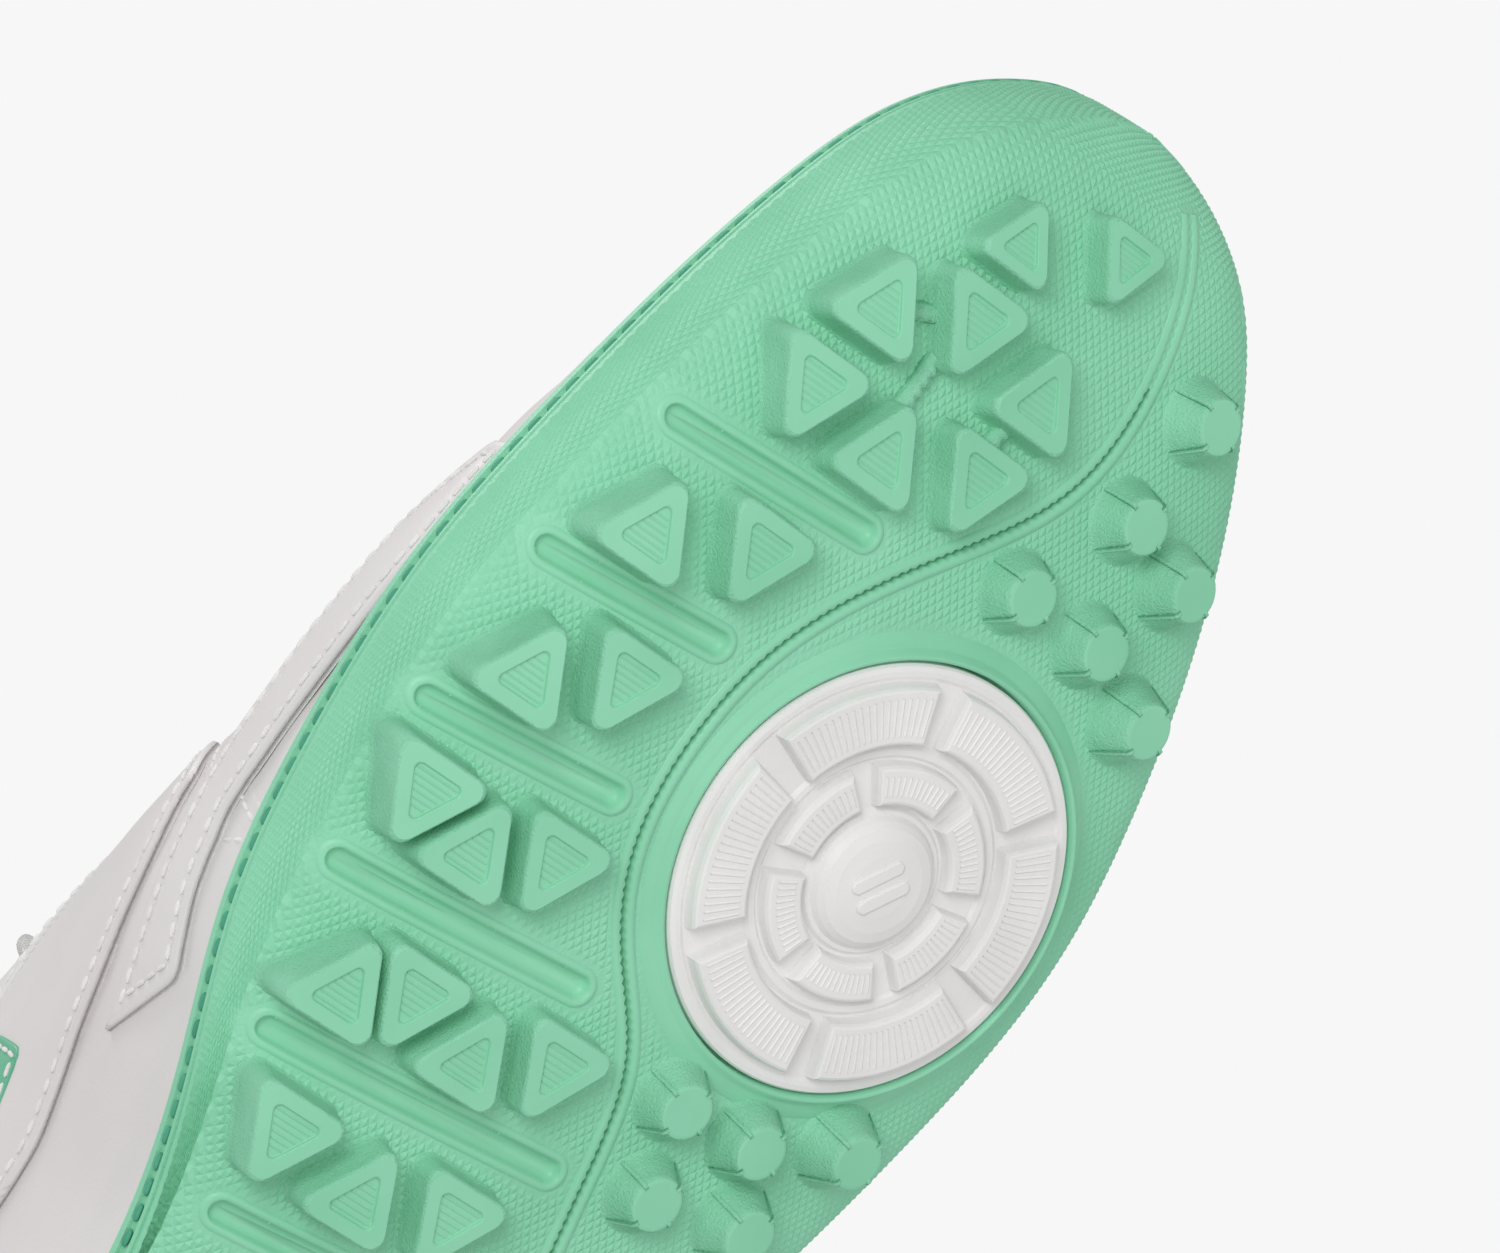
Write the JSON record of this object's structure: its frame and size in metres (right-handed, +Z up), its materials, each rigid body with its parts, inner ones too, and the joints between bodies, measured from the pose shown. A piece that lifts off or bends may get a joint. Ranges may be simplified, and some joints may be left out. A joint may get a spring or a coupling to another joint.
{
  "type": "turf football shoe",
  "caption": "Low-cut laced football shoe for turf: rubber cup sole with triangular lugs, conical studs and a round forefoot insert, under a stitched upper.",
  "frame": {"origin": "on the ground, under the middle of the shoe's box", "axes": "+X from heel to toe, +Y to the medial side of a right foot, +Z up"},
  "size_m": [0.29, 0.1028, 0.1208],
  "materials": {
    "outsole_rubber": "matte moulded rubber with a fine diamond texture",
    "insert_rubber": "satin moulded rubber with fine ribs",
    "midsole_foam": "matte moulded foam",
    "board": "pressed fibre board",
    "sock_fabric": "brushed knit over foam",
    "leather_white": "smooth white synthetic leather with fine grain",
    "patch_green": "smooth green synthetic leather",
    "lining_textile": "brushed mesh textile",
    "foam": "open-cell foam",
    "stiffener": "thermoplastic sheet",
    "webbing": "woven tape",
    "lace_cord": "braided polyester",
    "aglet_film": "heat-set clear film",
    "thread_green": "twisted polyester thread"
  },
  "bodies": {
    "shoe": {"outsole": "outsole_rubber", "pivot_disc": "insert_rubber", "midsole": "midsole_foam", "insole_board": "board", "vamp": "leather_white", "quarter_lateral": "leather_white", "quarter_medial": "leather_white", "toe_puff": "stiffener", "heel_stiffener": "stiffener", "collar_padding": "foam", "foam_lateral": "foam", "foam_medial": "foam", "eyestay_backing_lateral": "webbing", "eyestay_backing_medial": "webbing", "vamp_lining": "lining_textile", "quarter_lining": "lining_textile", "topline_binding": "leather_white", "eyestay_lateral": "leather_white", "eyestay_medial": "leather_white", "saddle_lateral": "leather_white", "saddle_medial": "leather_white", "side_patch_lateral": "patch_green", "side_patch_medial": "patch_green", "side_wing_lateral": "leather_white", "side_wing_medial": "leather_white", "heel_cover": "leather_white", "lace": "lace_cord", "aglet_lateral": "aglet_film", "aglet_medial": "aglet_film", "heel_pull_tab": "webbing", "sidewall_stitching": "thread_green"},
    "tongue": {"tongue_face": "leather_white", "tongue_foam": "foam", "tongue_lining": "lining_textile"},
    "sockliner": {"sockliner": "sock_fabric"}
  },
  "joints": [
    {"name": "tongue_press", "type": "hinge", "parent": "shoe", "child": "tongue", "pos_m": [0.066, 0, 0.0555], "axis": [0, 1, 0], "range_deg": [-12, 0], "stiffness_Nm_per_rad": 0.5, "springref_deg": 1.72},
    {"name": "sockliner_lift", "type": "hinge", "parent": "shoe", "child": "sockliner", "pos_m": [0.137, 0, 0.0265], "axis": [0, 1, 0], "range_deg": [0, 2]}
  ]
}
